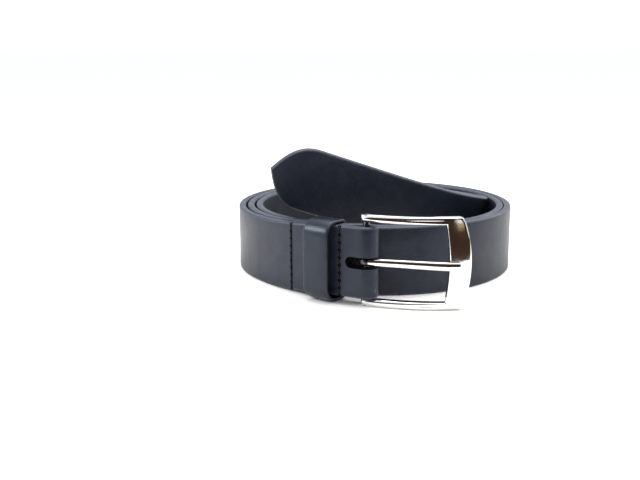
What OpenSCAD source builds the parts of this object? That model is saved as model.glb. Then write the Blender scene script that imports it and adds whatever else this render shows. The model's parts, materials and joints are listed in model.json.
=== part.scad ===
// Gentlemen's dress belt, coiled: a folded leather strap with a keeper loop, two stitched rows
// and a metal buckle whose frame and prong both turn on one bar.
// The coil stands on its edge on z = 0, +Z up, the buckle towards -Y.
// The origin is the middle of the underside of the whole belt's box.

/* [Strap] */
// Width of the leather strap
strap_w = 35; // [25:1:45]
// Thickness of the leather
leather_t = 3.8; // [2.5:0.1:4.4]
// Bevel on the four long edges of the strap
edge_bevel = 0.7; // [0.2:0.1:1]
// Length of the pointed end, from its point to the full width
point_l = 24.2; // [12:0.5:40]
// How blunt the point is, 2 for a plain curve
point_pow = 2.85; // [1.5:0.1:4]

/* [Coil] */
// Outer radius of the coil at its left side
coil_r = 77.7; // [60:0.1:100]
// Mean gap between two layers of the coil
gap_mean = 0.7; // [0.4:0.05:2]
// How much the gap grows on the left and shrinks on the right
gap_swing = 0.35; // [0:0.05:0.35]
// Angle round the coil where the straight buckle end leaves it
leave_ang = 56; // [45:1:70]
// Radius of the gently curved buckle end, to the middle of the leather
end_r = 184; // [120:1:400]
// Length of the buckle end, from the coil to the bar
end_l = 72.5; // [60:0.5:90]

/* [Inner end] */
// Angle round the coil where the innermost layer leaves the others
inner_ang = 860; // [840:1:900]
// How much tighter than the coil its first curve is, as radius
inner_in = 17.44; // [0:0.01:25]
// Length of its first curve
inner_l1 = 44.15; // [35:0.05:60]
// How much wider than the coil its second curve is, as radius
inner_out = 34.93; // [5:0.01:100]
// Length of its second curve
inner_l2 = 69.76; // [50:0.01:90]
// Lean of the sharp bend, away from upright
bend_lean = 13.87; // [0:0.01:18]
// Radius of the sharp bend, to the middle of the leather
bend_r = 6.6; // [5:0.1:12]
// Angle of the sharp bend
bend_turn = 79.1; // [50:0.1:120]
// Curvature just after the sharp bend, per millimetre
ease_k = 0.0157; // [0.005:0.0001:0.03]
// Length over which that curvature fades away
ease_l = 78.9; // [30:0.1:80]
// Length of the free end, from the sharp bend to the point
tongue_l = 146.7; // [120:0.1:170]

/* [Holes] */
// Number of buckle holes
hole_n = 5; // [1:1:7]
// Distance between two holes
hole_pitch = 25; // [20:0.5:30]
// Distance from the point to the first hole
hole_first = 105; // [80:1:120]
// How much wider than the prong a hole is
hole_play = 0.5; // [0.2:0.1:2]

/* [Turned-back end] */
// Length of leather turned back behind the strap
turnback_l = 47; // [35:0.5:55]
// Thickness the turned-back leather is pared to at its end
pared_t = 1.7; // [1:0.1:3]
// Length of the pared part
pared_l = 28; // [8:0.5:30]
// Distance from the fold to the far end of the prong slot
slot_l = 8.5; // [6:0.5:12]
// How much higher than the prong the slot is
slot_play = 1.7; // [1.2:0.1:4]

/* [Stitches] */
// Distance from the fold to the row nearest the buckle
row_near = 11.8; // [10:0.1:16]
// Distance from the fold to the row behind the keeper
row_far = 43.4; // [34:0.1:46]
// Distance between two stitches
stitch_pitch = 3.75; // [2:0.05:5]
// Thickness of the thread
thread_d = 0.8; // [0.4:0.05:1.2]

/* [Keeper] */
// Length of the keeper along the strap
keeper_l = 15.2; // [10:0.1:20]
// Distance from the fold to the middle of the keeper
keeper_at = 22.4; // [20:0.1:28]
// Thickness of the keeper leather
keeper_t = 1.8; // [1.2:0.1:2.6]
// How much thicker than the leather the room for the free end is
keeper_play = 0.1; // [0:0.1:2]
// Outer corner radius of the keeper's front
keeper_r = 4.4; // [3:0.1:6]

/* [Buckle] */
// How much wider than the strap the window of the frame is
frame_play = 2.6; // [2:0.1:10]
// Height of each arm of the frame
arm_h = 3.4; // [2.5:0.1:5]
// Depth of the arms
arm_d = 4.9; // [4:0.1:7]
// Distance from the bar to the middle of the end bar
frame_l = 44; // [36:0.5:60]
// How far the frame bows forward between its ends
frame_bow = 3; // [1.5:0.1:5]
// Width of the end bar at mid height
end_bar_w = 9.6; // [5:0.1:14]
// Angle of the frame, towards the front, at rest
frame_ang = 10; // [4:0.5:14]
// Diameter of the bar
bar_d = 3.5; // [2.5:0.1:4.5]

/* [Prong] */
// Height of the prong
prong_h = 3.9; // [3:0.1:4.4]
// Thickness of the prong at its middle
prong_t = 2.3; // [1.6:0.1:3.5]
// How far the prong reaches past the middle of the end bar
prong_over = 0.4; // [-2:0.1:3]
// Running clearance between the prong and the bar
prong_fit = 0.06; // [0.02:0.01:0.1]

/* [Hidden] */
step_ang = 5;
bar_r = bar_d / 2;
// The leather passes round the bar with a little play.
fold_play = 0.3;
fold_r = bar_r + fold_play + leather_t / 2;
// Two touching layers are drawn this far apart.
lay_gap = 0.15;
deg = 180 / PI;
bead_l = stitch_pitch * 0.78;
thread_sink = 0.15;
row_margin = 2.4;
frame_z0 = 0.2;
// The strap's lower edge stays this far above the lower arm.
arm_gap = 0.6;
end_lift = frame_z0 + arm_h + arm_gap;
frame_h = strap_w + frame_play + 2 * arm_h;
slot_h = prong_h + slot_play;
hole_d = prong_h + hole_play;
keeper_room = leather_t + keeper_play;
prong_l = frame_l + prong_over;
frame_r = (frame_l * frame_l / 4 + frame_bow * frame_bow) / (2 * frame_bow);
frame_cy = frame_r - frame_bow;
boss_r = arm_d / 2 + 0.15;
// Faces of one casting that would share a plane are drawn this far apart.
cast_step = 0.06;
leather_col = [0.12, 0.13, 0.16];
thread_col = [0.04, 0.04, 0.05];
metal_col = [0.82, 0.82, 0.84];

// Direction pointing out of the coil at angle a, counted from the front towards the left.
function out_dir(a) = [-sin(a), -cos(a), 0];
// Direction of travel round the coil at angle a.
function way_dir(a) = [-cos(a), sin(a), 0];
// A number that goes smoothly from 0 to 1.
function ease(u) = u <= 0 ? 0 : u >= 1 ? 1 : u * u * (3 - 2 * u);
function total(v) = v * [for (x = v) 1];
function unit(v) = v / norm(v);

// Coil: radius of the middle of the leather, shrinking by one layer and one gap a turn.
function coil_mid_r(a) = coil_r - leather_t / 2
    - (a - 90) / 360 * (leather_t + gap_mean + gap_swing * cos(a - 90));

// Buckle end: an arc that leaves the coil at leave_ang and rises towards the bar.
end_c = out_dir(leave_ang) * (coil_mid_r(leave_ang) - end_r);
end_ang = leave_ang - end_l / end_r * deg;
function end_a(d) = end_ang + d / end_r * deg;
function lift(d) = end_lift * (1 - ease(d / (end_l - 6)));
function up(d) = [0, 0, strap_w / 2 + lift(d)];
function end_p(d, off) = end_c + out_dir(end_a(d)) * (end_r + off) + up(d);
bar_p = end_c + out_dir(end_ang) * (end_r - fold_r);
bar_z = strap_w / 2 + end_lift;

// Turned-back leather: its thickness, and how far behind the strap it lies.
function back_t(d) = leather_t - (leather_t - pared_t) * ease((d - turnback_l + pared_l) / pared_l);
function back_off(d) = let (close = leather_t / 2 + back_t(d) / 2 + lay_gap)
    close + (2 * fold_r - close) * (1 - ease(d / 15));

// A station is its middle, the direction across the strap, the direction of the grain side, the thickness.
turnback_st = [for (i = [0 : 15]) let (d = turnback_l * (1 - i / 16))
    [end_p(d, -back_off(d)), [0, 0, 1], -out_dir(end_a(d)), back_t(d)]];
fold_st = [for (i = [0 : 14]) let (a = end_ang - 180 + i * 180 / 14)
    [bar_p + out_dir(a) * fold_r + up(0), [0, 0, 1], out_dir(a), leather_t]];
front_st = [for (i = [1 : 16]) let (d = end_l * i / 17)
    [end_p(d, 0), [0, 0, 1], out_dir(end_a(d)), leather_t]];
coil_n = floor((inner_ang - leave_ang) / step_ang);
coil_st = [for (i = [0 : coil_n]) let (a = leave_ang + (inner_ang - leave_ang) * i / coil_n)
    [out_dir(a) * coil_mid_r(a) + up(end_l), [0, 0, 1], out_dir(a), leather_t]];

// Innermost layer: two arcs, then a short flat piece, then the sharp bend.
inner_r1 = coil_mid_r(inner_ang) - inner_in;
inner_r2 = coil_mid_r(inner_ang) + inner_out;
c1 = out_dir(inner_ang) * (coil_mid_r(inner_ang) - inner_r1);
a1 = inner_ang + inner_l1 / inner_r1 * deg;
c2 = c1 + out_dir(a1) * (inner_r1 - inner_r2);
a2 = a1 + inner_l2 / inner_r2 * deg;
function inner1(a) = c1 + out_dir(a) * inner_r1 + up(end_l);
function inner2(a) = c2 + out_dir(a) * inner_r2 + up(end_l);
inner_st1 = [for (i = [1 : 12]) let (a = inner_ang + (a1 - inner_ang) * i / 12)
    [inner1(a), [0, 0, 1], out_dir(a), leather_t]];
inner_st2 = [for (i = [1 : 10]) let (a = a1 + (a2 - a1) * i / 10)
    [inner2(a), [0, 0, 1], out_dir(a), leather_t]];

// Sharp bend and free end: the leather bends only round lines parallel to bend_axis, so it stays unstretched.
flat_l = strap_w / 2 * tan(bend_lean) + 1;
bend_axis = way_dir(a2) * sin(bend_lean) + [0, 0, cos(bend_lean)];
bend_n = out_dir(a2);
bend_u = cross(bend_n, bend_axis);
bend_p = inner2(a2) + way_dir(a2) * flat_l;
tight_l = bend_r * bend_turn / deg;
function bend_a(c) = c <= 0 ? 0 : c < tight_l ? c / bend_r * deg
    : let (m = min(c - tight_l, ease_l)) bend_turn + ease_k * (m - m * m / (2 * ease_l)) * deg;
function bend_xy(c) = c <= 0 ? [c, 0] : let (n = ceil(c / 0.8), s = c / n)
    [s * total([for (i = [0 : n - 1]) cos(bend_a((i + 0.5) * s))]),
    -s * total([for (i = [0 : n - 1]) sin(bend_a((i + 0.5) * s))])];
// Middle of the leather at s along the strap from the bend and w up from its middle line.
function tongue_c(s, w) = s * cos(bend_lean) - w * sin(bend_lean);
function tongue_p(s, w) = let (q = bend_xy(tongue_c(s, w)))
    bend_p + bend_axis * (s * sin(bend_lean) + w * cos(bend_lean)) + bend_u * q[0] + bend_n * q[1];
function tongue_n(c) = bend_u * sin(bend_a(c)) + bend_n * cos(bend_a(c));
function tongue_u(c) = bend_u * cos(bend_a(c)) - bend_n * sin(bend_a(c));
tongue_end = tongue_c(tongue_l + 1, -strap_w / 2);
tongue_cs = concat([for (i = [0 : 11]) tight_l * i / 12], [for (i = [0 : 19]) tight_l + ease_l * i / 20],
    [tight_l + ease_l, tongue_end]);
tongue_st = [for (c = tongue_cs) [tongue_p(c / cos(bend_lean), 0), bend_axis / cos(bend_lean), tongue_n(c), leather_t]];

stations = concat(turnback_st, fold_st, front_st, coil_st, inner_st1, inner_st2, tongue_st);

// Prong seen from above in the buckle's frame: a shank resting just off the front of the end bar.
prong_gap = 0.35;
function frame_front(x) = frame_cy - sqrt(pow(frame_r + arm_d / 2, 2) - pow(x - frame_l / 2, 2));
ring_r = bar_r + prong_fit + 1.9;
shank_x = frame_l - end_bar_w / 2 - 0.8;
shank_y = frame_front(shank_x) - prong_gap;
tip_y = frame_front(prong_l) - prong_gap;
prong_side = [[0, prong_t - ring_r], [shank_x / 2, shank_y - 0.1], [shank_x, shank_y], [prong_l - 1, tip_y - (tip_y - shank_y) * 0.2],
    [prong_l, tip_y - 0.5], [prong_l, tip_y - prong_t + 0.9], [prong_l - 0.8, tip_y - prong_t + 0.3],
    [shank_x, shank_y - prong_t], [shank_x / 2, shank_y - prong_t + 0.3], [0, -ring_r]];

// Middle of the belt's box: the strap gives its left, right and back, the prong its front.
strap_pts = [for (s = stations) for (v = [-1, 1]) s[0] + s[2] * s[3] / 2 * v];
strap_xs = [for (p = strap_pts) p[0]];
strap_ys = [for (p = strap_pts) p[1]];
front_ys = [for (p = prong_side) bar_p[1] + p[1] * cos(frame_ang) - p[0] * sin(frame_ang)];
centre = [(min(strap_xs) + max(strap_xs)) / 2, (min(front_ys) + max(strap_ys)) / 2, 0];

// Cross-section of the strap with its four edges bevelled, as [across, through].
function section(t) = let (w = strap_w / 2, h = t / 2, e = min(edge_bevel, t * 0.3))
    [[-w, e - h], [-w + e, -h], [w - e, -h], [w, e - h], [w, h - e], [w - e, h], [-w + e, h], [-w, h - e]];

// Puts its children where the belt's own frame has them.
module placed() {
    translate(-centre) children();
}

module ribbon(st) {
    n = len(st);
    pts = [for (s = st) for (q = section(s[3])) s[0] + s[1] * q[0] + s[2] * q[1]];
    sides = [for (i = [0 : n - 2]) for (j = [0 : 7]) let (a = i * 8 + j, b = i * 8 + (j + 1) % 8)
        for (f = [[a, a + 8, b], [b, a + 8, b + 8]]) f];
    ends = [[for (j = [0 : 7]) j], [for (j = [7 : -1 : 0]) (n - 1) * 8 + j]];
    polyhedron(points = pts, faces = concat(sides, ends), convexity = 20);
}

// Puts its children in a frame at p with axes x, y and z.
module on_axes(p, x, y, z) {
    multmatrix([[x[0], y[0], z[0], p[0]], [x[1], y[1], z[1], p[1]], [x[2], y[2], z[2], p[2]]]) children();
}

// Frame at distance d from the fold: x towards the buckle, y into the coil, z up, off along y.
module at_end(d, z) {
    p = end_p(d, 0);
    on_axes([p[0], p[1], z], -way_dir(end_a(d)), -out_dir(end_a(d)), [0, 0, 1]) children();
}

module slot_cut() {
    at_end(0, bar_z) {
        rotate([-90, 0, 0]) translate([slot_h / 2 - slot_l, 0, -leather_t * 2]) cylinder(d = slot_h, h = leather_t * 6, $fn = 48);
        translate([slot_h / 2 - slot_l, -leather_t * 2, -slot_h / 2]) cube([slot_l + fold_r * 2, leather_t * 6, slot_h]);
    }
}

// Everything past the point of the strap, drawn flat: x along the strap, y across it.
module point_cut() {
    s0 = tongue_l - point_l;
    p0 = tongue_p(s0, 0);
    x = bend_axis * sin(bend_lean) + tongue_u(tongue_end) * cos(bend_lean);
    y = bend_axis * cos(bend_lean) - tongue_u(tongue_end) * sin(bend_lean);
    curve = [for (i = [0 : 20]) let (e = point_l * pow(1 - i / 20, 1.6))
        [point_l - e, strap_w / 2 * (1 - pow(1 - e / point_l, point_pow))]];
    far = point_l + strap_w / 2;
    side = strap_w / 2 + 0.6;
    on_axes(p0, x, y, tongue_n(tongue_end)) translate([0, 0, -leather_t / 2 - 0.3])
        linear_extrude(height = leather_t + 0.6)
            polygon(concat(curve, [for (i = [19 : -1 : 0]) [curve[i][0], -curve[i][1]]],
                [[-0.5, -side], [far, -side], [far, side], [-0.5, side]]));
}

// One hole, counted from the point: on the free end or on the layer before the bend.
module hole_cut(i) {
    s = tongue_l - hole_first - i * hole_pitch;
    a = a2 + (s + flat_l) / inner_r2 * deg;
    c = tongue_c(s, 0);
    p = s > -flat_l ? tongue_p(s, 0) : inner2(a);
    z = s > -flat_l ? tongue_n(c) : out_dir(a);
    y = s > -flat_l ? bend_axis : [0, 0, 1];
    on_axes(p, cross(y, z), y, z) cylinder(d = hole_d, h = leather_t * 2, center = true, $fn = 32);
}

module strap() {
    color(leather_col) placed() difference() {
        ribbon(stations);
        slot_cut();
        point_cut();
        for (i = [0 : hole_n - 1]) hole_cut(i);
    }
}

// One row of stitches at distance d from the fold, showing on both sides of the two layers.
module stitch_row(d) {
    n = floor((strap_w - 2 * row_margin) / stitch_pitch);
    front = leather_t / 2 + thread_d / 2 - thread_sink * 2;
    back = back_off(d) + back_t(d) / 2 + thread_d / 2 - thread_sink * 2;
    color(thread_col) placed() for (i = [0 : n]) for (y = [-front, back])
        at_end(d, lift(d) + strap_w / 2 + (i - n / 2) * stitch_pitch)
            translate([0, y, -bead_l / 2]) cylinder(d = thread_d, h = bead_l, $fn = 24);
}

module stitch_row_near() {
    stitch_row(row_near);
}

module stitch_row_far() {
    stitch_row(row_far);
}

// A bar with rounded corners, open along x: y from y0 to y1, z from z0 to z1.
module rounded_bar(l, y0, y1, z0, z1, rf, rb) {
    for (z = [[z0 + rf, rf], [z1 - rf, rf]]) translate([-l / 2, y0 + rf, z[0]]) rotate([0, 90, 0]) cylinder(r = rf, h = l, $fn = 64);
    for (z = [z0 + rb, z1 - rb]) translate([-l / 2, y1 - rb, z]) rotate([0, 90, 0]) cylinder(r = rb, h = l, $fn = 64);
    translate([-l / 2, y0, z0 + rf]) cube([l, rf, z1 - z0 - 2 * rf]);
    translate([-l / 2, y1 - rb, z0 + rb]) cube([l, rb, z1 - z0 - 2 * rb]);
    translate([-l / 2, y0 + rf, z0]) cube([l, y1 - y0 - rf - rb, z1 - z0]);
}

keeper_d0 = keeper_at + keeper_l / 2;
keeper_z0 = lift(keeper_d0) - 0.15;
keeper_z1 = strap_w + lift(keeper_at - keeper_l / 2) + 0.15;
keeper_y0 = -leather_t / 2 - keeper_room;
keeper_y1 = leather_t * 1.5 + lay_gap + 0.25;
keeper_back_t = keeper_t * 0.8;
staple_d = 0.6;
staple_w = 9;

module keeper_loop() {
    color(leather_col) placed() at_end(keeper_at, 0) difference() {
        rounded_bar(keeper_l, keeper_y0 - keeper_t, keeper_y1 + keeper_back_t,
            keeper_z0 - keeper_t, keeper_z1 + keeper_t, keeper_r, 2.2);
        rounded_bar(keeper_l + 2, keeper_y0, keeper_y1, keeper_z0, keeper_z1, keeper_r - keeper_t, 0.6);
    }
}

// Wire staple that closes the keeper, across the joint behind the strap.
module keeper_staple() {
    color(metal_col) placed() at_end(keeper_at, (keeper_z0 + keeper_z1) / 2) {
        for (z = [-staple_w / 2, staple_w / 2]) translate([0, keeper_y1 + 0.2, z])
            rotate([-90, 0, 0]) cylinder(d = staple_d, h = keeper_back_t + 0.1, $fn = 24);
        translate([0, keeper_y1 + keeper_back_t + staple_d / 2, -staple_w / 2 - staple_d / 2])
            cylinder(d = staple_d, h = staple_w + staple_d, $fn = 24);
    }
}

// The buckle's own frame: the bar's axis at the origin, x towards the end bar, -y to the front.
module at_bar() {
    translate([bar_p[0], bar_p[1], 0]) rotate([0, 0, -frame_ang]) children();
}

// A part of the bowed frame: profile as [out, up], between two distances along the frame.
module bowed(pts, x0, x1) {
    b0 = asin((x0 - frame_l / 2) / frame_r);
    b1 = asin((x1 - frame_l / 2) / frame_r);
    translate([frame_l / 2, frame_cy, 0]) rotate([0, 0, b0 - 90])
        rotate_extrude(angle = b1 - b0, $fn = 180)
            polygon([for (p = pts) [frame_r + p[0], p[1]]]);
}

// Section of one arm, with a shallow line along its front.
function arm_pts(z, s) = let (h = arm_d / 2, t = arm_h - cast_step)
    [for (p = [[-h, 0], [h - 0.8, 0], [h, 0.7], [h - 0.3, 1.5], [h, 2.3], [h - 1, t], [-h, t]]) [p[0], z + s * p[1]]];

module buckle_frame() {
    h = frame_h;
    d = arm_d / 2 + cast_step;
    out_r = 70;
    in_r = 110;
    x_in = frame_l - end_bar_w / 2;
    x_out = frame_l + end_bar_w / 2;
    color(metal_col) placed() at_bar() difference() {
        union() {
            translate([0, 0, frame_z0]) {
                bowed(arm_pts(arm_h, -1), 0, x_in + 1);
                bowed(arm_pts(h - arm_h, 1), 0, x_in + 1);
                for (z = [cast_step * 2, h - arm_h - cast_step])
                    translate([0, 0, z]) cylinder(r = boss_r, h = arm_h - cast_step, $fn = 64);
                intersection() {
                    bowed([[-d, 0.4], [-d + 0.5, 0], [d - 0.9, 0], [d, 0.9], [d, h - 0.9], [d - 0.9, h], [-d + 0.5, h],
                        [-d, h - 0.4]], x_in - 3, x_out + 0.5);
                    translate([x_out - out_r, frame_l, h / 2]) rotate([90, 0, 0]) cylinder(r = out_r, h = frame_l * 2, $fn = 180);
                    difference() {
                        translate([0, -frame_l / 2, 0]) cube([frame_l * 2, frame_l, h]);
                        intersection() {
                            translate([x_in - in_r, frame_l, h / 2]) rotate([90, 0, 0])
                                cylinder(r = in_r, h = frame_l * 2, $fn = 180);
                            translate([-1, -frame_l, arm_h - cast_step])
                                cube([frame_l * 2, frame_l * 2, h - 2 * arm_h + 2 * cast_step]);
                        }
                    }
                }
            }
        }
        translate([0, 0, -1]) cylinder(r = bar_r, h = h + 2, $fn = 64);
    }
}

module buckle_bar() {
    color(metal_col) placed() at_bar() translate([0, 0, frame_z0 + 0.4]) cylinder(r = bar_r, h = frame_h - 0.8, $fn = 64);
}

// Prong: a ring on the bar and a shank that lies across to the front of the end bar.
module prong() {
    color(metal_col) placed() at_bar() translate([0, 0, bar_z + 0.2 - prong_h / 2]) difference() {
        union() {
            cylinder(r = ring_r, h = prong_h, $fn = 64);
            linear_extrude(height = prong_h) polygon(prong_side);
        }
        translate([0, 0, -1]) cylinder(r = bar_r + prong_fit, h = prong_h + 2, $fn = 64);
        for (z = [0, prong_h]) translate([5, shank_y - prong_t, z]) rotate([45, 0, -1.5])
            translate([0, -0.55, -0.55]) cube([prong_l, 1.1, 1.1]);
    }
}

strap();
keeper_loop();
keeper_staple();
stitch_row_near();
stitch_row_far();
buckle_frame();
buckle_bar();
prong();
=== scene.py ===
import json
import math

import bmesh
import bpy
from mathutils import Matrix, Vector


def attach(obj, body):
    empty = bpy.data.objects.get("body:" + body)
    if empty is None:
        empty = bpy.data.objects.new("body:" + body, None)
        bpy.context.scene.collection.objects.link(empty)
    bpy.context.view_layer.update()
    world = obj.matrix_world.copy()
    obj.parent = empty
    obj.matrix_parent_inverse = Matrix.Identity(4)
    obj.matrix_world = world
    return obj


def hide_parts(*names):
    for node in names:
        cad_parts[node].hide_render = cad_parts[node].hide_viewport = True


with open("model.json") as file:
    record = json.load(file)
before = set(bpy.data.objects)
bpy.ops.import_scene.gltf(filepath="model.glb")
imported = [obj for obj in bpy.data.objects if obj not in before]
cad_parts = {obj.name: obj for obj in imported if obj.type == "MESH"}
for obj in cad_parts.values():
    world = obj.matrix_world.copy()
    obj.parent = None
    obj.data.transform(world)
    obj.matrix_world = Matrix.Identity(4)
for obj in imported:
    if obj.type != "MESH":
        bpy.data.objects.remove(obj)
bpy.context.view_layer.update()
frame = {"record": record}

# ---------------------------------------------------------------------------------------------
# Strap. Smooth black leather 35 mm wide with a blunt point, its edges rounded and painted. It lies
# coiled on its edge: the buckle end is folded back round the bar and sewn, and the pointed end is
# bent sharply across the inside of the coil. Lengths are in millimetres until a mesh is made.
strap_w = 35.0
leather_t = 3.8
edge_round = 1.1
point_l = 24.2
point_pow = 2.85
coil_r = 77.7
gap_mean = 0.7
gap_swing = 0.35
leave_ang = 56.0
end_r = 184.0
end_l = 72.5
end_lift = 4.2
lift_stop = 6.0
# The free end leaves the coil at inner_ang: it closes in on one arc, opens out on another, then
# turns sharply about a line that leans by bend_lean, and eases out of the bend over ease_l.
inner_ang = 860.0
inner_in = 17.44
inner_l1 = 44.15
inner_out = 34.93
inner_l2 = 69.76
bend_lean = math.radians(13.87)
bend_r = 6.6
bend_turn = math.radians(79.1)
ease_k = 0.0157
ease_l = 78.9
tongue_l = 146.7
# The buckle holes are counted from the point, and the turned-back layer from the fold.
hole_n = 5
hole_pitch = 25.0
hole_first = 105.0
hole_d = 4.4
turnback_l = 47.0
pared_t = 1.7
pared_l = 28.0
slot_l = 8.5
slot_h = 5.6
bar_r = 1.75
bar_room = 0.3
lay_gap = 0.15
fold_close_l = 15.0
fold_r = bar_r + bar_room + leather_t / 2

UP = Vector((0, 0, 1))


def out_dir(a):
    """Direction out of the coil at a degrees from its front, counted towards its left."""
    return Vector((-math.sin(math.radians(a)), -math.cos(math.radians(a)), 0))


def way_dir(a):
    """Direction of travel round the coil at a degrees."""
    return Vector((-math.cos(math.radians(a)), math.sin(math.radians(a)), 0))


def ease(u):
    """Smooth step from 0 at u = 0 to 1 at u = 1."""
    u = min(max(u, 0.0), 1.0)
    return u * u * (3 - 2 * u)


def coil_mid_r(a):
    """Radius of the middle of the leather, which shrinks by one layer and its gap in each turn."""
    layer = leather_t + gap_mean + gap_swing * math.cos(math.radians(a - 90))
    return coil_r - leather_t / 2 - (a - 90) / 360 * layer


end_c = out_dir(leave_ang) * (coil_mid_r(leave_ang) - end_r)
end_ang = leave_ang - math.degrees(end_l / end_r)
bar_xy = end_c + out_dir(end_ang) * (end_r - fold_r)
bar_z = strap_w / 2 + end_lift


def end_a(d):
    """Angle of the buckle end's own arc at distance d from its fold."""
    return end_ang + math.degrees(d / end_r)


def lift(d):
    """How far the buckle end is raised off the ground at distance d from its fold."""
    return end_lift * (1 - ease(d / (end_l - lift_stop)))


def end_p(d, off):
    """Middle of the buckle end at distance d from its fold, off millimetres towards the front."""
    return end_c + out_dir(end_a(d)) * (end_r + off) + UP * (strap_w / 2 + lift(d))


def back_t(d):
    """Thickness of the turned-back layer, pared towards its end."""
    return leather_t - (leather_t - pared_t) * ease((d - turnback_l + pared_l) / pared_l)


def back_off(d):
    """Distance from the middle of the front layer to the middle of the turned-back one."""
    close = leather_t / 2 + back_t(d) / 2 + lay_gap
    return close + (2 * fold_r - close) * (1 - ease(d / fold_close_l))


# The belt's own place: the joint's point in the frame is the bar's axis.
bar_joint = next(j for j in frame["record"]["behaviour"]["joints"] if j["name"] == "frame_swing")
bar_m = Vector(bar_joint["pos_m"])
MM = 0.001
to_frame = Matrix.Translation(bar_m - (bar_xy + UP * bar_z) * MM) @ Matrix.Scale(MM, 4)

# A row across the strap is a function that gives the middle of the leather and its grain side's
# direction for a distance w up from the middle line; each row has its half width and thickness.
def upright_row(mid, grain, t=leather_t):
    return (lambda w: (mid + UP * w, grain), strap_w / 2, t)


def steps(a, b, n):
    return [a + (b - a) * i / n for i in range(n)]


rows = [
    upright_row(end_p(d, -back_off(d)), -out_dir(end_a(d)), back_t(d))
    for d in steps(turnback_l, 0, 26)
]
fold_axis = Vector((bar_xy.x, bar_xy.y, bar_z))
rows += [
    upright_row(fold_axis + out_dir(a) * fold_r, out_dir(a))
    for a in steps(end_ang - 180, end_ang, 28)
]
rows += [upright_row(end_p(d, 0), out_dir(end_a(d))) for d in steps(0, end_l, 32)]
rows += [
    upright_row(out_dir(a) * coil_mid_r(a) + UP * (strap_w / 2), out_dir(a))
    for a in steps(leave_ang, inner_ang, 322)
]

inner_r1 = coil_mid_r(inner_ang) - inner_in
inner_r2 = coil_mid_r(inner_ang) + inner_out
c1 = out_dir(inner_ang) * (coil_mid_r(inner_ang) - inner_r1)
a1 = inner_ang + math.degrees(inner_l1 / inner_r1)
c2 = c1 + out_dir(a1) * (inner_r1 - inner_r2)
a2 = a1 + math.degrees(inner_l2 / inner_r2)


def inner_arc(c, r, a):
    return c + out_dir(a) * r + UP * (strap_w / 2)


rows += [upright_row(inner_arc(c1, inner_r1, a), out_dir(a)) for a in steps(inner_ang, a1, 18)]
rows += [upright_row(inner_arc(c2, inner_r2, a), out_dir(a)) for a in steps(a1, a2, 22)]

flat_l = strap_w / 2 * math.tan(bend_lean) + 1
bend_axis = way_dir(a2) * math.sin(bend_lean) + UP * math.cos(bend_lean)
bend_n = out_dir(a2)
bend_u = bend_n.cross(bend_axis)
bend_p = inner_arc(c2, inner_r2, a2) + way_dir(a2) * flat_l
tight_l = bend_r * bend_turn


def bend_a(c):
    """Angle turned at distance c past the start of the bend."""
    if c <= 0:
        return 0.0
    if c < tight_l:
        return c / bend_r
    m = min(c - tight_l, ease_l)
    return bend_turn + ease_k * (m - m * m / (2 * ease_l))


# The bend's line is summed once in quarter millimetres and read between those points.
bend_step = 0.25
bend_line = [(0.0, 0.0)]
while len(bend_line) * bend_step < tongue_l + strap_w:
    turned = bend_a((len(bend_line) - 0.5) * bend_step)
    x, y = bend_line[-1]
    bend_line.append((x + bend_step * math.cos(turned), y - bend_step * math.sin(turned)))


def bend_xy(c):
    if c <= 0:
        return c, 0.0
    i = int(c / bend_step)
    u = c / bend_step - i
    (xa, ya), (xb, yb) = bend_line[i], bend_line[i + 1]
    return xa + (xb - xa) * u, ya + (yb - ya) * u


def tongue_at(s, w):
    """Middle of the leather and its grain side, s along the free end and w up from its middle."""
    c = s * math.cos(bend_lean) - w * math.sin(bend_lean)
    x, y = bend_xy(c)
    up_line = s * math.sin(bend_lean) + w * math.cos(bend_lean)
    turned = bend_a(c)
    grain = bend_u * math.sin(turned) + bend_n * math.cos(turned)
    return bend_p + bend_axis * up_line + bend_u * x + bend_n * y, grain


def tongue_half_w(s):
    """Half the strap's width at s: full until the point starts, then narrowing to its tip."""
    left = tongue_l - s
    if left >= point_l:
        return strap_w / 2
    return strap_w / 2 * (1 - (1 - left / point_l) ** point_pow)


def tongue_row(s):
    return (lambda w: tongue_at(s, w)), tongue_half_w(s), leather_t


# Rows lie closer together through the bend, and closer still towards the tip.
tip_near = 0.12
bend_end_s = 15
tongue_s = steps(-flat_l, bend_end_s, 36) + steps(bend_end_s, tongue_l - point_l, 62)
tongue_s += [tongue_l - tip_near - (point_l - tip_near) * (1 - i / 30) ** 1.7 for i in range(31)]
rows += [tongue_row(s) for s in tongue_s]
edge_square = 0.75


def strap_section(half, t):
    """Outline of a cut through the strap as (up, through, kind), round the leather once."""
    h = t / 2
    e = min(edge_round, t * 0.32, half * 0.9)
    across = 12
    pts = [(-half + e + (2 * half - 2 * e) * i / across, h, "grain") for i in range(across)]
    for side, kind in ((1, "edge"), (-1, "edge")):
        if side < 0:
            pts += [(half - e - (2 * half - 2 * e) * i / across, -h, "back") for i in range(across)]
        for i in range(9):
            a = math.pi * i / 9
            bulge = e * abs(math.sin(a)) ** edge_square
            thick = h * math.copysign(abs(math.cos(a)) ** edge_square, math.cos(a))
            pts.append((side * (half - e + bulge), side * thick, kind))
    return pts


def make_piece(name, verts, faces, kinds=None, materials=(), sharp=40):
    """A closed mesh piece from points in millimetres, smooth but for edges sharper than sharp."""
    mesh = bpy.data.meshes.new(name)
    mesh.from_pydata([to_frame @ Vector(v) for v in verts], [], faces)
    for m in materials:
        mesh.materials.append(m)
    if kinds:
        mesh.polygons.foreach_set("material_index", kinds)
    clean = bmesh.new()
    clean.from_mesh(mesh)
    bmesh.ops.recalc_face_normals(clean, faces=clean.faces)
    clean.to_mesh(mesh)
    clean.free()
    mesh.shade_smooth()
    mesh.set_sharp_from_angle(angle=math.radians(sharp))
    piece = bpy.data.objects.new(name, mesh)
    bpy.context.scene.collection.objects.link(piece)
    return piece


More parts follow.
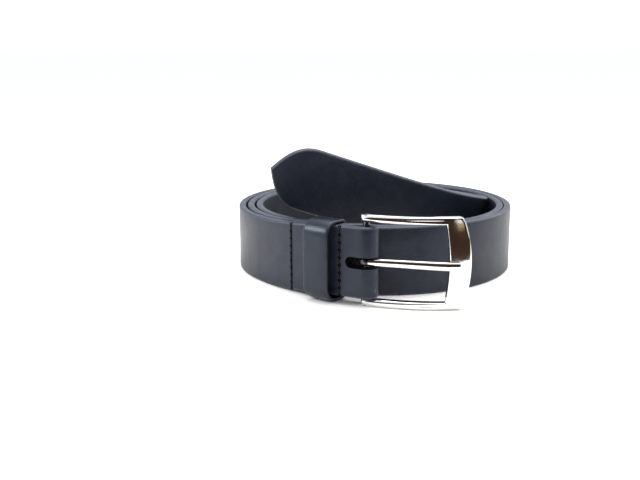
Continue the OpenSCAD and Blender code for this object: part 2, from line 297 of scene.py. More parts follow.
def skin(rings, closed=False):
    """Faces over a list of rings that all have as many points; the two ends are filled."""
    n = len(rings[0])
    faces = []
    count = len(rings)
    for i in range(count if closed else count - 1):
        a, b = i * n, (i + 1) % count * n
        faces += [(a + j, b + j, b + (j + 1) % n, a + (j + 1) % n) for j in range(n)]
    if not closed:
        faces += [tuple(range(n - 1, -1, -1)), tuple(range((count - 1) * n, count * n))]
    return faces


class Finish:
    """Node by node helper for one procedural material on the object's own coordinates."""

    def __init__(self, name):
        self.material = bpy.data.materials.new(name)
        self.material.use_nodes = True
        self.tree = self.material.node_tree
        self.shader = self.tree.nodes["Principled BSDF"]
        self.where = self.node("ShaderNodeTexCoord").outputs["Object"]

    def node(self, kind, **settings):
        made = self.tree.nodes.new(kind)
        for key, value in settings.items():
            setattr(made, key, value)
        return made

    def link(self, a, b):
        self.tree.links.new(a, b)

    def stretched(self, scale):
        """The coordinates stretched by scale, for marks that run one way."""
        mapping = self.node("ShaderNodeMapping")
        mapping.inputs["Scale"].default_value = scale
        self.link(self.where, mapping.inputs["Vector"])
        return mapping.outputs["Vector"]

    def noise(self, per_metre, detail=3.0, where=None, rough=0.5):
        made = self.node("ShaderNodeTexNoise")
        made.inputs["Scale"].default_value = per_metre
        made.inputs["Detail"].default_value = detail
        made.inputs["Roughness"].default_value = rough
        self.link(where or self.where, made.inputs["Vector"])
        return made.outputs["Fac"]

    def cells(self, per_metre, feature="F1"):
        made = self.node("ShaderNodeTexVoronoi", feature=feature)
        made.inputs["Scale"].default_value = per_metre
        self.link(self.where, made.inputs["Vector"])
        return made.outputs["Distance"]

    def between(self, value, low, high, socket, at=(0.3, 0.7)):
        """Spreads value from low to high into a number socket of the shader."""
        made = self.node("ShaderNodeMapRange")
        made.inputs["From Min"].default_value, made.inputs["From Max"].default_value = at
        made.inputs["To Min"].default_value = low
        made.inputs["To Max"].default_value = high
        self.link(value, made.inputs["Value"])
        self.link(made.outputs["Result"], self.shader.inputs[socket])

    def tones(self, value, dark, light, at=(0.35, 0.65)):
        """Colours the surface from dark to light by value."""
        made = self.node("ShaderNodeValToRGB")
        made.color_ramp.elements[0].position, made.color_ramp.elements[1].position = at
        made.color_ramp.elements[0].color = (*dark, 1)
        made.color_ramp.elements[1].color = (*light, 1)
        self.link(value, made.inputs["Fac"])
        self.link(made.outputs["Color"], self.shader.inputs["Base Color"])

    def relief(self, *layers):
        """Raises the surface by (height, depth in metres) layers, one over another."""
        last = None
        for height, depth in layers:
            made = self.node("ShaderNodeBump")
            made.inputs["Strength"].default_value = 1.0
            made.inputs["Distance"].default_value = depth
            self.link(height, made.inputs["Height"])
            if last:
                self.link(last, made.inputs["Normal"])
            last = made.outputs["Normal"]
        self.link(last, self.shader.inputs["Normal"])


def smooth_leather(name, dark, light, low_rough, high_rough, gloss=0.38):
    """Corrected-grain leather: fine pores, faint creases and a satin finish that varies."""
    finish = Finish(name)
    finish.tones(finish.noise(140, 4), dark, light)
    finish.between(finish.noise(60, 5), low_rough, high_rough, "Roughness")
    finish.relief(
        (finish.noise(95, 3), 0.00022),
        (finish.cells(1500), 0.00005),
        (finish.noise(2600, 2), 0.00002),
    )
    finish.shader.inputs["Specular IOR Level"].default_value = gloss
    finish.shader.inputs["Specular Tint"].default_value = (0.84, 0.9, 1.0, 1)
    return finish.material


grain_dark, grain_light = (0.007, 0.0095, 0.016), (0.011, 0.0145, 0.0235)
grain_side = smooth_leather("strap_grain", grain_dark, grain_light, 0.38, 0.46)


def coated_back(name):
    """The strap's inner side: split leather under a thin black coat, duller than the grain side."""
    finish = Finish(name)
    finish.tones(finish.noise(300, 5), (0.005, 0.0065, 0.0105), (0.009, 0.011, 0.017))
    finish.between(finish.noise(120, 5), 0.5, 0.68, "Roughness")
    finish.relief((finish.noise(900, 6, rough=0.65), 0.00009), (finish.noise(160, 3), 0.00018))
    finish.shader.inputs["Specular IOR Level"].default_value = 0.4
    return finish.material


def edge_paint(name, dark, light):
    """Edge paint: a thick satin coat laid on in several passes, slightly wavy along the edge."""
    finish = Finish(name)
    finish.tones(finish.noise(420, 3), dark, light)
    finish.between(finish.noise(200, 4), 0.4, 0.52, "Roughness")
    finish.relief((finish.noise(330, 3), 0.00012), (finish.noise(1700, 2), 0.000025))
    finish.shader.inputs["Specular IOR Level"].default_value = 0.45
    return finish.material


back_side = coated_back("strap_back")
painted_edge = edge_paint("strap_edge", (0.018, 0.022, 0.038), (0.032, 0.037, 0.058))
kind_index = {"grain": 0, "back": 1, "edge": 2}

strap_rings = []
for place, half, t in rows:
    ring = []
    for w, h, _ in strap_section(half, t):
        mid, grain = place(w)
        ring.append(mid + grain * h)
    strap_rings.append(ring)
section_kinds = [kind for _, _, kind in strap_section(strap_w / 2, leather_t)]
face_kinds = []
for _ in range(len(strap_rings) - 1):
    face_kinds += [kind_index[kind] for kind in section_kinds]
face_kinds += [kind_index["edge"]] * 2
strap = make_piece(
    "strap_leather",
    [p for ring in strap_rings for p in ring],
    skin(strap_rings),
    face_kinds,
    (grain_side, back_side, painted_edge),
)


def at_end(d, z=0.0):
    """Axes on the buckle end at distance d from the fold: x to the buckle, y inwards, z up."""
    p = end_p(d, 0)
    x, y = -way_dir(end_a(d)), -out_dir(end_a(d))
    return Matrix(((x.x, y.x, 0, p.x), (x.y, y.y, 0, p.y), (0, 0, 1, z), (0, 0, 0, 1)))


def punch(outline, deep, place):
    """Points and faces of a straight punch: an (x, z) outline run along y from deep[0] to deep[1]."""
    n = len(outline)
    verts = [place @ Vector((x, y, z)) for y in deep for x, z in outline]
    faces = [(j, (j + 1) % n, n + (j + 1) % n, n + j) for j in range(n)]
    return verts, faces + [tuple(range(n - 1, -1, -1)), tuple(range(n, 2 * n))]


def cut_with(piece, punches, material):
    """Cuts all the punches out of piece, and paints what they lay bare with material."""
    verts, faces = [], []
    for more, sides in punches:
        faces += [tuple(len(verts) + i for i in side) for side in sides]
        verts += more
    cutter = make_piece("punches", verts, faces, materials=(material,))
    cut = piece.modifiers.new("cut", "BOOLEAN")
    cut.operation = "DIFFERENCE"
    cut.solver = "EXACT"
    cut.material_mode = "TRANSFER"
    cut.object = cutter
    shape = bpy.data.meshes.new_from_object(piece.evaluated_get(bpy.context.evaluated_depsgraph_get()))
    piece.modifiers.clear()
    piece.data = shape
    bpy.data.objects.remove(cutter)


def rounded(cx, cz, r, a0, a1, n):
    """Points of an arc from a0 to a1 degrees in n steps."""
    turns = [math.radians(a0 + (a1 - a0) * i / n) for i in range(n + 1)]
    return [(cx + r * math.cos(a), cz + r * math.sin(a)) for a in turns]


# The prong's slot is open at the fold and round at its far end.
slot_r = slot_h / 2
slot_outline = rounded(slot_r - slot_l, 0, slot_r, 90, 270, 24)
slot_outline += [(fold_r * 2, -slot_r), (fold_r * 2, slot_r)]
punches = [punch(slot_outline, (-leather_t * 2, leather_t * 4), at_end(0, bar_z))]


def hole_place(i):
    """Axes on the free end at hole i: y along the grain side."""
    s = tongue_l - hole_first - i * hole_pitch
    if s > -flat_l:
        mid, grain = tongue_at(s, 0)
        side = bend_axis
    else:
        a = a2 + math.degrees((s + flat_l) / inner_r2)
        mid, grain, side = inner_arc(c2, inner_r2, a), out_dir(a), UP
    x = grain.cross(side).normalized()
    z = x.cross(grain)
    return Matrix([[x[k], grain[k], z[k], mid[k]] for k in range(3)] + [[0, 0, 0, 1]])


hole_sides = 32
hole_outline = rounded(0, 0, hole_d / 2, 0, 360 - 360 / hole_sides, hole_sides - 1)
punches += [punch(hole_outline, (-leather_t, leather_t), hole_place(i)) for i in range(hole_n)]

# ---------------------------------------------------------------------------------------------
# Stitches. Two rows of waxed black thread go through both layers, one beside the buckle and one
# beyond the keeper. Each stitch lies between two slanted awl holes, on the front and on the back.
row_near = 11.8
row_far = 43.4
row_margin = 2.4
stitch_pitch = 3.75
thread_r = 0.4
awl_l = 2.0
awl_w = 2.1
awl_slant = math.radians(24)
awl_sides = 12
awl_clear = 0.5
front_deep = 0.9
back_deep = 0.7
stitch_n = math.floor((strap_w - 2 * row_margin) / stitch_pitch)
awl_outline = []
for i in range(awl_sides):
    a = 2 * math.pi * i / awl_sides
    along, wide = awl_l / 2 * math.cos(a), awl_w / 2 * math.sin(a)
    x = along * math.sin(awl_slant) + wide * math.cos(awl_slant)
    z = along * math.cos(awl_slant) - wide * math.sin(awl_slant)
    awl_outline.append((x, z))


def stitch_z(d, i):
    """Height of the middle of stitch i in the row at distance d."""
    return lift(d) + strap_w / 2 + (i - stitch_n / 2) * stitch_pitch


for d in (row_near, row_far):
    front, rear = -leather_t / 2, back_off(d) + back_t(d) / 2
    faces_y = ((front - awl_clear, front + front_deep), (rear - back_deep, rear + awl_clear))
    for i in range(stitch_n + 2):
        place = at_end(d, stitch_z(d, i - 0.5))
        punches += [punch(awl_outline, deep, place) for deep in faces_y]

# Painted shade: faces cut bare in the slot, holes and awl pits are near black, as shaded recesses.
cut_shade_dark, cut_shade_light = (0.002, 0.002, 0.003), (0.004, 0.0045, 0.006)
cut_with(strap, punches, smooth_leather("cut_faces_painted_shade", cut_shade_dark, cut_shade_light, 0.7, 0.85, 0.1))
strap.data.shade_smooth()
strap.data.set_sharp_from_angle(angle=math.radians(40))
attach(strap, "belt")
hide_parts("strap")


def waxed_thread(name):
    """Waxed linen thread, black, twisted from plies that show as slanting ridges."""
    finish = Finish(name)
    finish.tones(finish.noise(2500, 2), (0.004, 0.0045, 0.006), (0.01, 0.011, 0.015))
    twist = finish.node("ShaderNodeTexWave", wave_type="BANDS", bands_direction="DIAGONAL")
    twist.inputs["Scale"].default_value = 700
    finish.link(finish.where, twist.inputs["Vector"])
    finish.relief((twist.outputs["Fac"], 0.00008))
    finish.between(finish.noise(900, 2), 0.5, 0.7, "Roughness")
    finish.shader.inputs["Specular IOR Level"].default_value = 0.2
    return finish.material


thread_proud = 0.26
thread_dive = 0.95
dive_from = 0.62
thread_slant = 0.16
thread_flat = 0.8
stitch_lap = 0.05


def one_stitch(place, face, side):
    """Rings of one stitch: a short arch of thread whose ends go down into the awl holes."""
    rings = []
    for k in range(17):
        u = -1 + 2 * k / 16
        dive = thread_dive * (max(0.0, abs(u) - dive_from) / (1 - dive_from)) ** 1.3
        z = u * (stitch_pitch / 2 + stitch_lap)
        r = thread_r * (1 - 0.12 * u * u)
        ring = []
        for q in range(12):
            a = 2 * math.pi * q / 12
            x = side * thread_slant * u + r * math.cos(a)
            y = face + side * (thread_proud - dive + r * thread_flat * math.sin(a))
            ring.append(place @ Vector((x, y, z)))
        rings.append(ring)
    return rings


def stitch_row(name, d, node, thread):
    """One row through both layers, a stitch in front and one behind between each pair of holes."""
    verts, faces = [], []
    rear = back_off(d) + back_t(d) / 2
    for i in range(stitch_n + 1):
        for side, face in ((-1, -leather_t / 2), (1, rear)):
            rings = one_stitch(at_end(d, stitch_z(d, i)), face, side)
            faces += [tuple(len(verts) + v for v in f) for f in skin(rings)]
            verts += [p for ring in rings for p in ring]
    row = make_piece(name, verts, faces, materials=(thread,), sharp=60)
    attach(row, "belt")
    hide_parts(node)


thread = waxed_thread("stitch_thread")
stitch_row("stitches_near", row_near, "stitch_row_near", thread)
stitch_row("stitches_far", row_far, "stitch_row_far", thread)

# ---------------------------------------------------------------------------------------------
# Keeper. A band of thinner leather bent round the doubled strap, with turned, painted edges. It
# stands off the front to leave room for the free end, and is closed by a wire staple behind.
keeper_l = 15.2
keeper_at = 22.4
keeper_t = 1.8
keeper_room = 3.9
keeper_r = 7.4
keeper_back_r = 2.2
keeper_back_t = keeper_t * 0.8
keeper_ease = 0.15
keeper_back_ease = 0.25
keeper_proud = 0.22
keeper_z0 = lift(keeper_at + keeper_l / 2) - keeper_ease
keeper_z1 = strap_w + lift(keeper_at - keeper_l / 2) + keeper_ease
keeper_y0 = -leather_t / 2 - keeper_room
keeper_y1 = leather_t * 1.5 + lay_gap + keeper_back_ease
corner_n = 12
side_n = 10


def loop_path(y0, y1, z0, z1, front_r, back_r):
    """Points and outward directions round a loop with large front and small back corners."""
    corners = (
        (y0 + front_r, z1 - front_r, front_r, 180, 90),
        (y1 - back_r, z1 - back_r, back_r, 90, 0),
        (y1 - back_r, z0 + back_r, back_r, 0, -90),
        (y0 + front_r, z0 + front_r, front_r, -90, -180),
    )
    path = []
    for cy, cz, r, from_a, to_a in corners:
        for i in range(corner_n + 1):
            a = math.radians(from_a + (to_a - from_a) * i / corner_n)
            m = (math.cos(a), math.sin(a))
            path.append((cy + r * m[0], cz + r * m[1], m))
    full = []
    for k, (y, z, m) in enumerate(path):
        full.append((y, z, m))
        if (k + 1) % (corner_n + 1) == 0:
            ny, nz, _ = path[(k + 1) % len(path)]
            for i in range(1, side_n):
                u = i / side_n
                full.append((y + (ny - y) * u, z + (nz - z) * u, m))
    return full


def band_section(l, t, crown):
    """Outline through a leather band: l wide, t thick, round edges, a little proud in its middle."""
    e = t * 0.46
    pts = [(-l / 2 + e + (l - 2 * e) * i / 10, t / 2, "grain") for i in range(10)]
    for side in (1, -1):
        if side < 0:
            pts += [(l / 2 - e - (l - 2 * e) * i / 10, -t / 2, "back") for i in range(10)]
        for i in range(7):
            a = math.pi * i / 7
            thick = t / 2 * math.copysign(abs(math.cos(a)) ** 0.8, math.cos(a))
            pts.append((side * (l / 2 - e + e * abs(math.sin(a)) ** 0.8), side * thick, "edge"))
    return [(x, h + (crown * (1 - (2 * x / l) ** 2) if h > 0 else 0), kind) for x, h, kind in pts]


band_dark, band_light = (0.005, 0.0075, 0.0135), (0.009, 0.0125, 0.021)
keeper_grain = smooth_leather("keeper_grain", band_dark, band_light, 0.27, 0.34, 0.36)
keeper_edge = edge_paint("keeper_edge", (0.006, 0.008, 0.013), (0.012, 0.015, 0.023))
keeper_rings, keeper_kinds = [], []
keeper_place = at_end(keeper_at)
keeper_path = loop_path(
    keeper_y0 - keeper_t / 2, keeper_y1 + keeper_back_t / 2,
    keeper_z0 - keeper_t / 2, keeper_z1 + keeper_t / 2,
    keeper_r - keeper_t / 2, keeper_back_r - keeper_back_t / 2,
)
band_kinds = [kind for _, _, kind in band_section(keeper_l, keeper_t, 0)]
for y, z, (my, mz) in keeper_path:
    # The band is pared where it lies behind the strap.
    behind = ease((y - keeper_y0) / (keeper_y1 - keeper_y0))
    t = keeper_t + (keeper_back_t - keeper_t) * behind
    ring = []
    for x, h, _ in band_section(keeper_l, t, keeper_proud * (1 - behind)):
        ring.append(keeper_place @ Vector((x, y + my * h, z + mz * h)))
    keeper_rings.append(ring)
for _ in keeper_rings:
    keeper_kinds += [kind_index[kind] for kind in band_kinds]
keeper = make_piece(
    "keeper_leather",
    [p for ring in keeper_rings for p in ring],
    skin(keeper_rings, closed=True),
    keeper_kinds,
    (keeper_grain, back_side, keeper_edge),
)
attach(keeper, "belt")
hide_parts("keeper_loop")

# ---------------------------------------------------------------------------------------------
# Staple. One length of round galvanised wire, bent twice and driven from behind into the keeper
# band, which it closes; only its crown shows, on the hidden side of the belt.
staple_w = 9.0
wire_r = 0.3
wire_bend_r = 0.7
leg_in = 0.3


def galvanised(name):
    """Galvanised wire: dull grey, with drawing marks and a faint mottle."""
    finish = Finish(name)
    finish.tones(finish.noise(1600, 4), (0.38, 0.38, 0.4), (0.58, 0.58, 0.6))
    finish.between(finish.noise(2400, 3), 0.26, 0.44, "Roughness")
    finish.relief((finish.noise(3000, 3), 0.00002))
    finish.shader.inputs["Metallic"].default_value = 1.0
    return finish.material


def round_wire(path, r, sides=14):
    """Rings of a round wire along a path of (y, z) points in the plane x = 0."""
    rings = []
    for k, (y, z) in enumerate(path):
        (ya, za), (yb, zb) = path[max(k - 1, 0)], path[min(k + 1, len(path) - 1)]
        run = Vector((0, yb - ya, zb - za)).normalized()
        across = run.cross(Vector((1, 0, 0)))
        ring = []
        for q in range(sides):
            a = 2 * math.pi * q / sides
            ring.append(Vector((r * math.cos(a), y, z)) + across * (r * math.sin(a)))
        rings.append(ring)
    return rings


wire_y = keeper_y1 + keeper_back_t + wire_r
wire_path = [(keeper_y1 + leg_in, -staple_w / 2)]
wire_path += rounded(wire_y - wire_bend_r, wire_bend_r - staple_w / 2, wire_bend_r, -90, 0, 8)
wire_path += [(y, -z) for y, z in reversed(wire_path)]
staple_rings = round_wire(wire_path, wire_r)
staple_place = at_end(keeper_at, (keeper_z0 + keeper_z1) / 2)
staple = make_piece(
    "staple",
    [staple_place @ p for ring in staple_rings for p in ring],
    skin(staple_rings),
    materials=(galvanised("staple_wire"),),
)
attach(staple, "belt")
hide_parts("keeper_staple")

# ---------------------------------------------------------------------------------------------
# Buckle frame. A zinc casting, polished and nickel plated: two slender arms bowed forward, each
# with an eye for the bar, and a broad end bar that the prong rests on. Its front is rounded.
frame_h = 44.4
arm_h = 3.4
arm_d = 4.9
frame_l = 44.0
frame_bow = 3.0
end_bar_w = 9.6
frame_z0 = 0.2
eye_r = arm_d / 2 + 0.15
out_side_r = 70.0
in_side_r = 110.0
out_corner = 1.3
in_corner = 0.5
front_crown = 0.75
front_camber = 0.8
frame_ang = math.radians(10)
bow_r = (frame_l ** 2 / 4 + frame_bow ** 2) / (2 * frame_bow)
bow_cy = bow_r - frame_bow
x_in = frame_l - end_bar_w / 2
x_out = frame_l + end_bar_w / 2
turn_frame = Matrix.Translation(Vector((bar_xy.x, bar_xy.y, 0))) @ Matrix.Rotation(-frame_ang, 4, "Z")


def bowed(x, out, z):
    """Point of the bowed frame: x along it from the bar, out towards the front, z up."""
    a = math.asin((x - frame_l / 2) / bow_r)
    r = bow_r + out
    return turn_frame @ Vector((frame_l / 2 + r * math.sin(a), bow_cy - r * math.cos(a), z + frame_z0))


def half_of_frame():
    """Stations from the lower eye to half way up the end bar, as (inner x, z), (outer x, z)."""
    half = frame_h / 2
    in_x = x_in - in_side_r + math.sqrt(in_side_r ** 2 - (half - arm_h) ** 2)
    out_x = x_out - out_side_r + math.sqrt(out_side_r ** 2 - half ** 2)
    pairs = []
    # The eye starts half a step in, so that its first station still has some depth.
    for i in range(10):
        x = -eye_r * math.cos(math.pi / 2 * (i + 0.5) / 10)
        pairs.append(((x, arm_h), (x, 0)))
    for i in range(41):
        u = i / 40
        pairs.append(((u * (in_x - in_corner), arm_h), (u * (out_x - out_corner), 0)))
    for i in range(1, 9):
        a = math.pi / 2 * i / 8
        inner = (in_x - in_corner + in_corner * math.sin(a), arm_h + in_corner * (1 - math.cos(a)))
        outer = (out_x - out_corner + out_corner * math.sin(a), out_corner * (1 - math.cos(a)))
        pairs.append((inner, outer))
    for i in range(1, 31):
        u = i / 30
        zi = arm_h + in_corner + (half - arm_h - in_corner) * u
        zo = out_corner + (half - out_corner) * u
        xi = x_in - in_side_r + math.sqrt(in_side_r ** 2 - (half - zi) ** 2)
        xo = x_out - out_side_r + math.sqrt(out_side_r ** 2 - (half - zo) ** 2)
        pairs.append(((xi, zi), (xo, zo)))
    return pairs


# Round the section once: where the point lies across the frame's width, and on which face.
section_points = [(i / 28, "front") for i in range(29)] + [(1 - i / 12, "back") for i in range(13)]
line_deep = 0.05
line_half_w = 0.16
bar_crown_less = 0.45
back_round = 0.5
camber_from = 20.0
camber_run = 20.0

lower_half = half_of_frame()
upper_half = [
    ((xi, frame_h - zi), (xo, frame_h - zo))
    for (xi, zi), (xo, zo) in reversed(lower_half[:-1])
]
frame_rings = []
for (xi, zi), (xo, zo) in lower_half + upper_half:
    width = math.hypot(xo - xi, zo - zi)
    middle_x = (xi + xo) / 2
    # The eye is round: its depth follows the circle round the bar.
    eye = math.sqrt(max(0.0, 1 - (min(middle_x, 0) / eye_r) ** 2))
    ring = []
    # Arms are round in front with a shallow line along them; the end bar is nearly flat.
    flat = ease((width - arm_h) / (end_bar_w - arm_h))
    power = 2 + 14 * flat
    crown = front_crown - bar_crown_less * flat
    lined = line_deep * ease(middle_x / 4) * ease((x_in - 1 - middle_x) / 2)
    for q, face in section_points:
        x, z = xi + (xo - xi) * q, zi + (zo - zi) * q
        high = (2 * z / frame_h - 1) ** 2
        if face == "front":
            out = arm_d / 2 - crown * abs(2 * q - 1) ** power
            out -= front_camber * high * ease((middle_x - camber_from) / camber_run)
            out -= lined * ease(1 - abs(q - 0.5) / line_half_w)
        else:
            out = -arm_d / 2 + back_round * abs(2 * q - 1) ** 6
        ring.append(bowed(x, out * eye, z))
    frame_rings.append(ring)


def polished_nickel(name, low_rough=0.05, high_rough=0.1):
    """Bright nickel plate over a polished casting, with hairline wear and a little haze."""
    finish = Finish(name)
    finish.tones(finish.noise(40, 2), (0.76, 0.745, 0.72), (0.83, 0.815, 0.79))
    finish.between(finish.noise(160, 5), low_rough, high_rough, "Roughness")
    hairlines = finish.noise(900, 3, finish.stretched((0.06, 0.06, 1.0)))
    finish.relief((hairlines, 0.0000035), (finish.noise(220, 2), 0.00001))
    finish.shader.inputs["Metallic"].default_value = 1.0
    return finish.material


nickel = polished_nickel("buckle_nickel")
buckle = make_piece(
    "buckle_casting",
    [p for ring in frame_rings for p in ring],
    skin(frame_rings),
    materials=(nickel,),
    sharp=50,
)
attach(buckle, "frame")
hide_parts("buckle_frame")

# ---------------------------------------------------------------------------------------------
# Bar. Drawn steel wire that goes through the leather fold, the prong's curl and the two eyes of
# the casting; its ends are peened over into low domes, so it turns with the frame.
dome_h = 0.18
head_r = 1.95
head_t = 0.12
eye_depth = 0.4


def turned(profile, place, sides=48):
    """Rings of a turned shape: profile is (radius, z) from the bottom up."""
    turns = [2 * math.pi * q / sides for q in range(sides)]
    rings = []
    for r, z in profile:
        rings.append([place @ Vector((r * math.cos(a), r * math.sin(a), z)) for a in turns])
    return rings


half_bar = [
    (0.02, -dome_h),
    (head_r * 0.55, -dome_h * 0.8),
    (head_r * 0.9, -dome_h * 0.35),
    (head_r, 0.0),
    (head_r, head_t),
    (bar_r, head_t),
    (bar_r, eye_depth),
]
bar_profile = [(r, frame_z0 + z) for r, z in half_bar]
bar_profile += [(r, frame_z0 + frame_h - z) for r, z in reversed(half_bar)]
bar_rings = turned(bar_profile, turn_frame)


def shaded_drawn_steel(name):
    """Bright drawn steel with fine marks along the wire, its colour darkened as painted shade."""
    finish = Finish(name)
    finish.tones(finish.noise(300, 3), (0.1, 0.1, 0.105), (0.17, 0.17, 0.175))
    finish.between(finish.noise(1200, 3, finish.stretched((1.0, 1.0, 0.05))), 0.16, 0.3, "Roughness")
    finish.relief((finish.noise(2600, 2, finish.stretched((1.0, 1.0, 0.04))), 0.000008))
    finish.shader.inputs["Metallic"].default_value = 1.0
    return finish.material


bar = make_piece(
    "bar",
    [p for ring in bar_rings for p in ring],
    skin(bar_rings),
    materials=(shaded_drawn_steel("bar_steel_painted_shade"),),
    sharp=30,
)
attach(bar, "frame")
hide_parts("buckle_bar")

# ---------------------------------------------------------------------------------------------
# Prong. Nickel-plated like the frame: a strip curled round the bar at one end, and straight and
# slightly arched to the front of the end bar, where it ends square with its edges broken.
prong_h = 3.9
prong_t = 2.3
prong_over = 0.4
prong_fit = 0.06
prong_gap = 0.35
curl_t = 1.9
prong_z = bar_z + 0.2
prong_l = frame_l + prong_over
ring_r = bar_r + prong_fit + curl_t
curl_from, curl_turn = -8, 278
curl_h = 0.86
prong_arch = 0.12
tip_thin = 0.1
tip_low = 0.04


def frame_front(x):
    """Front of the bowed frame at x, counted inwards from the bar."""
    return bow_cy - math.sqrt((bow_r + arm_d / 2) ** 2 - (x - frame_l / 2) ** 2)


shank_x = frame_l - end_bar_w / 2 - 0.8
shank_y = frame_front(shank_x) - prong_gap
tip_y = frame_front(prong_l) - prong_gap


near_y = -ring_r + prong_t / 2


def shank_mid(x):
    """Middle of the shank at x: from the curl's front, slightly arched, to the end bar."""
    slope = (shank_y - prong_t / 2 - near_y) * ease(x / shank_x)
    return near_y + slope + prong_arch * math.sin(math.pi * x / shank_x)


def prong_path():
    """Middle line of the prong as (x, y, thickness, height), from the curl's end to the tip."""
    curl_r = ring_r - curl_t / 2
    path = []
    for i in range(36):
        a = math.radians(curl_from + curl_turn * i / 36)
        path.append((curl_r * math.cos(a), curl_r * math.sin(a), curl_t, prong_h * curl_h))
    for i in range(1, 40):
        x = shank_x * i / 40
        t = curl_t + (prong_t - curl_t) * ease(x / 5)
        path.append((x, shank_mid(x), t, prong_h * (curl_h + (1 - curl_h) * x / shank_x)))
    for i in range(9):
        u = i / 8
        x = shank_x + (prong_l - shank_x) * u
        y = shank_y - prong_t / 2 + (tip_y - shank_y) * u * 0.8
        path.append((x, y, prong_t * (1 - tip_thin * u), prong_h * (1 - tip_low * u)))
    return path


prong_crown = 0.55
prong_bevel = 0.3
bevel_from = 0.86
prong_broken = 0.35
end_shrink = 0.84
end_step = 0.22


def prong_section(t, h, broken):
    """Outline through the prong as (through, up): a crowned front, flat back, edges broken."""
    pts = []
    for i in range(13):
        u = -1 + 2 * i / 12
        bevel = prong_bevel * max(0, abs(u) - bevel_from) / (1 - bevel_from)
        pts.append((-t / 2 + prong_crown * abs(u) ** 2.2 + bevel, u * h / 2))
    for i in range(9):
        u = 1 - 2 * i / 8
        pts.append((t / 2 - broken * abs(u) ** 8, u * h / 2))
    return pts


line = prong_path()
prong_rings = []
for k, (x, y, t, h) in enumerate(line):
    xa, ya = line[max(k - 1, 0)][:2]
    xb, yb = line[min(k + 1, len(line) - 1)][:2]
    run = Vector((xb - xa, yb - ya, 0)).normalized()
    inner = Vector((-run.y, run.x, 0))
    ring = []
    for q, v in prong_section(t, h, prong_broken):
        ring.append(turn_frame @ (Vector((x, y, prong_z + v)) + inner * q))
    prong_rings.append(ring)


def drawn_in(last, before):
    """An end ring made a little smaller and set a little beyond the last, as a file breaks it."""
    mid = sum(last, Vector()) / len(last)
    step = (mid - sum(before, Vector()) / len(before)).normalized() * end_step
    return [mid + (p - mid) * end_shrink + step for p in last]


start_ring = drawn_in(prong_rings[0], prong_rings[1])
tip_ring = drawn_in(prong_rings[-1], prong_rings[-2])
prong_rings = [start_ring] + prong_rings + [tip_ring]


def curl_painted_shade(name):
    """Dull nickel inside the slot, darkened as painted shade where the leather shades the curl."""
    finish = Finish(name)
    finish.tones(finish.noise(500, 4), (0.05, 0.048, 0.046), (0.12, 0.115, 0.11))
    finish.between(finish.noise(700, 3), 0.24, 0.4, "Roughness")
    finish.relief((finish.noise(1800, 3), 0.00002))
    finish.shader.inputs["Metallic"].default_value = 1.0
    return finish.material


prong = make_piece(
    "prong_strip",
    [p for ring in prong_rings for p in ring],
    skin(prong_rings),
    materials=(polished_nickel("prong_nickel", 0.06, 0.12), curl_painted_shade("curl_nickel_painted_shade")),
    sharp=34,
)
# The curl gets the dull nickel with painted shade, where it lies shaded inside the slot.
turn_back = (to_frame @ turn_frame).inverted()
for side in prong.data.polygons:
    if (turn_back @ side.center).x < ring_r * 0.35:
        side.material_index = 1
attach(prong, "prong")
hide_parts("prong")

# ---------------------------------------------------------------------------------------------
# Where the belt stands: a plain white sheet under broad soft light. In front of the belt lie
# cards that only glossy surfaces see: the dark warm room and its two lights that the polished
# buckle mirrors.
sheet_half = 9


def lying(x0, x1, y0, y1, z):
    """Corners of a flat sheet from x0 to x1 and y0 to y1, at height z."""
    return [(x0, y0, z), (x1, y0, z), (x1, y1, z), (x0, y1, z)]


floor_mesh = bpy.data.meshes.new("sheet")
floor_mesh.from_pydata(lying(-sheet_half, sheet_half, -sheet_half, sheet_half, 0), [], [(0, 1, 2, 3)])
floor = bpy.data.objects.new("sheet", floor_mesh)
bpy.context.scene.collection.objects.link(floor)
paper = bpy.data.materials.new("paper")
paper.use_nodes = True
paper_shader = paper.node_tree.nodes["Principled BSDF"]
paper_shader.inputs["Base Color"].default_value = (0.97, 0.93, 0.9, 1)
paper_shader.inputs["Roughness"].default_value = 0.9
floor_mesh.materials.append(paper)


def reflected_card(name, corners, colour, strength):
    """A glowing card that only polished and glossy surfaces see."""
    mesh = bpy.data.meshes.new(name)
    mesh.from_pydata(corners, [], [(0, 1, 2, 3)])
    card = bpy.data.objects.new(name, mesh)
    bpy.context.scene.collection.objects.link(card)
    look = bpy.data.materials.new(name)
    look.use_nodes = True
    shader = look.node_tree.nodes["Principled BSDF"]
    shader.inputs["Base Color"].default_value = (0, 0, 0, 1)
    shader.inputs["Specular IOR Level"].default_value = 0.0
    shader.inputs["Emission Color"].default_value = (*colour, 1)
    shader.inputs["Emission Strength"].default_value = strength
    mesh.materials.append(look)
    card.visible_camera = False
    card.visible_diffuse = False
    card.visible_shadow = False
    card.visible_transmission = False


def standing(x0, x1, y, z1):
    """Corners of a card that stands on the ground at y, from x0 to x1 and as high as z1."""
    return [(x0, y, 0), (x1, y, 0), (x1, y, z1), (x0, y, z1)]


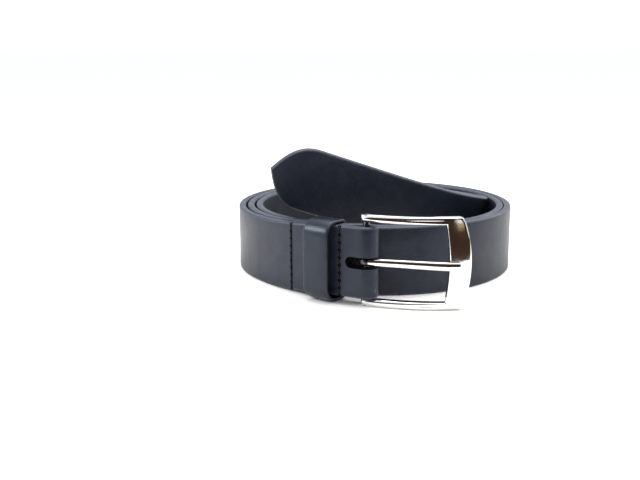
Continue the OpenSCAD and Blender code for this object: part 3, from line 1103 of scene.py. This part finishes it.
room_left, room_right = -0.8, 0.9
room_far_y, room_near_y = -0.8, -0.173
room_h = 0.75
dark_room = (0.05, 0.028, 0.018)
room_floor = lying(room_left, room_right, room_far_y, room_near_y, 0.002)
reflected_card("room_floor", room_floor, dark_room, 1.0)
reflected_card("room_wall", standing(room_left, room_right, room_far_y, room_h), dark_room, 1.0)
reflected_card("room_lamp", lying(0.15, 0.19, -0.49, -0.44, 0.004), (0.9, 0.6, 0.2), 1.0)
reflected_card("room_window", lying(0.19, 0.26, -0.7, -0.58, 0.004), (1.0, 0.97, 0.92), 2.0)


def soft_light(name, at, aim, size, power, colour):
    """A rectangular soft box at one point, aimed at another."""
    data = bpy.data.lights.new(name, "AREA")
    data.shape = "RECTANGLE"
    data.size, data.size_y = size
    data.energy = power
    data.color = colour
    lamp = bpy.data.objects.new(name, data)
    lamp.location = at
    lamp.rotation_euler = (Vector(aim) - Vector(at)).to_track_quat("-Z", "Y").to_euler()
    bpy.context.scene.collection.objects.link(lamp)


soft_light("overhead", (0.05, 0.1, 0.75), (0, 0, 0.02), (0.7, 0.5), 5.5, (1.0, 0.98, 0.96))
soft_light("right_rear", (0.7, 0.45, 0.55), (0, 0, 0.02), (0.5, 0.5), 3.5, (1.0, 0.97, 0.94))
soft_light("left", (-0.75, -0.1, 0.42), (0, -0.05, 0.02), (0.22, 0.26), 3.8, (0.96, 0.98, 1.0))

world = bpy.data.worlds.new("soft_surround")
world.use_nodes = True
surround = world.node_tree.nodes["Background"]
surround.inputs["Color"].default_value = (0.88, 0.93, 1.0, 1)
surround.inputs["Strength"].default_value = 1.15
bpy.context.scene.world = world
bpy.context.scene.view_settings.view_transform = "Standard"

# The camera stands low in front and a little to the left, and looks down by about 13 degrees.
look_down = math.radians(12.61)
roll = math.radians(-0.30)
right, above = Vector((1, 0, 0)), Vector((0, math.sin(look_down), math.cos(look_down)))
ahead = Vector((0, math.cos(look_down), -math.sin(look_down)))
cam_x = right * math.cos(roll) + above * math.sin(roll)
cam_y = above * math.cos(roll) - right * math.sin(roll)
cam_data = bpy.data.cameras.new("camera")
cam_data.sensor_width = 36
cam_data.lens = 50.625
cam_data.clip_start = 0.01
camera = bpy.data.objects.new("camera", cam_data)
cam_at = Vector((-0.030945, -0.493720, 0.1256))
cam_rows = [[cam_x[k], cam_y[k], -ahead[k], cam_at[k]] for k in range(3)]
camera.matrix_world = Matrix(cam_rows + [[0, 0, 0, 1]])
bpy.context.scene.collection.objects.link(camera)
bpy.context.scene.camera = camera
